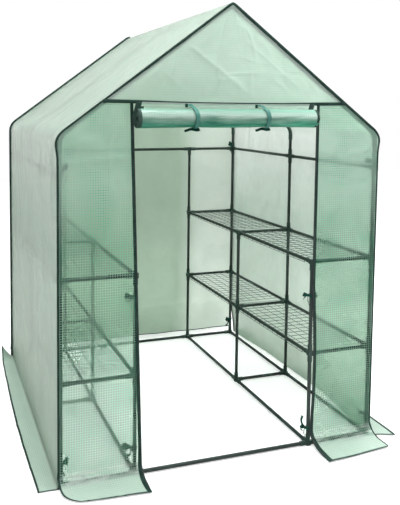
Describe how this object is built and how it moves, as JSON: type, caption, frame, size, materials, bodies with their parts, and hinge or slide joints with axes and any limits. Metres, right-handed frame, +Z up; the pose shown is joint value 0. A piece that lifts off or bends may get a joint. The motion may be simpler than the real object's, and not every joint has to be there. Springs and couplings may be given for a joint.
{
  "type": "walk-in greenhouse with a film cover",
  "caption": "Small walk-in greenhouse: plug-together tube frame, wire shelves on both sides and a translucent film cover with a rolled-up door.",
  "frame": {"origin": "on the ground, in the middle of the greenhouse's plan", "axes": "+Z up, +Y from the doorway to the back wall, +X to the right as seen from the front"},
  "size_m": [1.679, 1.679, 1.919],
  "materials": {
    "tube": "satin powder coat, almost black green",
    "connector": "moulded plastic, dark green",
    "wire": "plastic-coated wire",
    "wall_film": "translucent reinforced polyethylene film with a fine square scrim",
    "front_film": "translucent reinforced polyethylene film, greener, with a fine square scrim",
    "rolled_film": "rolled film, glossy where the layers lie close",
    "ribbon": "woven ribbon",
    "tape": "woven binding and zip tape"
  },
  "bodies": {
    "root": {"corner_posts": "tube", "side_posts": "tube", "shelf_posts": "tube", "base_rails": "tube", "lower_shelf_rails": "tube", "upper_shelf_rails": "tube", "top_rails": "tube", "rafters": "tube", "ridge_bars": "tube", "base_connectors": "connector", "lower_shelf_connectors": "connector", "upper_shelf_connectors": "connector", "top_rail_connectors": "connector", "eave_elbows": "connector", "ridge_connectors": "connector", "lower_left_shelves": "wire", "lower_right_shelves": "wire", "upper_left_shelves": "wire", "upper_right_shelves": "wire", "left_wall_cover": "wall_film", "right_wall_cover": "wall_film", "back_wall_cover": "wall_film", "left_eave_cover": "wall_film", "right_eave_cover": "wall_film", "left_roof_cover": "wall_film", "right_roof_cover": "wall_film", "front_gable_cover": "front_film", "front_left_panel": "front_film", "front_right_panel": "front_film", "left_ground_flap": "front_film", "right_ground_flap": "front_film", "back_ground_flap": "front_film", "front_left_flap": "front_film", "front_right_flap": "front_film", "rolled_door": "rolled_film", "door_roll_straps": "ribbon", "door_header_tape": "tape", "left_door_tape": "tape", "right_door_tape": "tape", "front_edge_binding": "tape", "back_edge_binding": "tape", "cover_ties": "ribbon"}
  },
  "joints": []
}
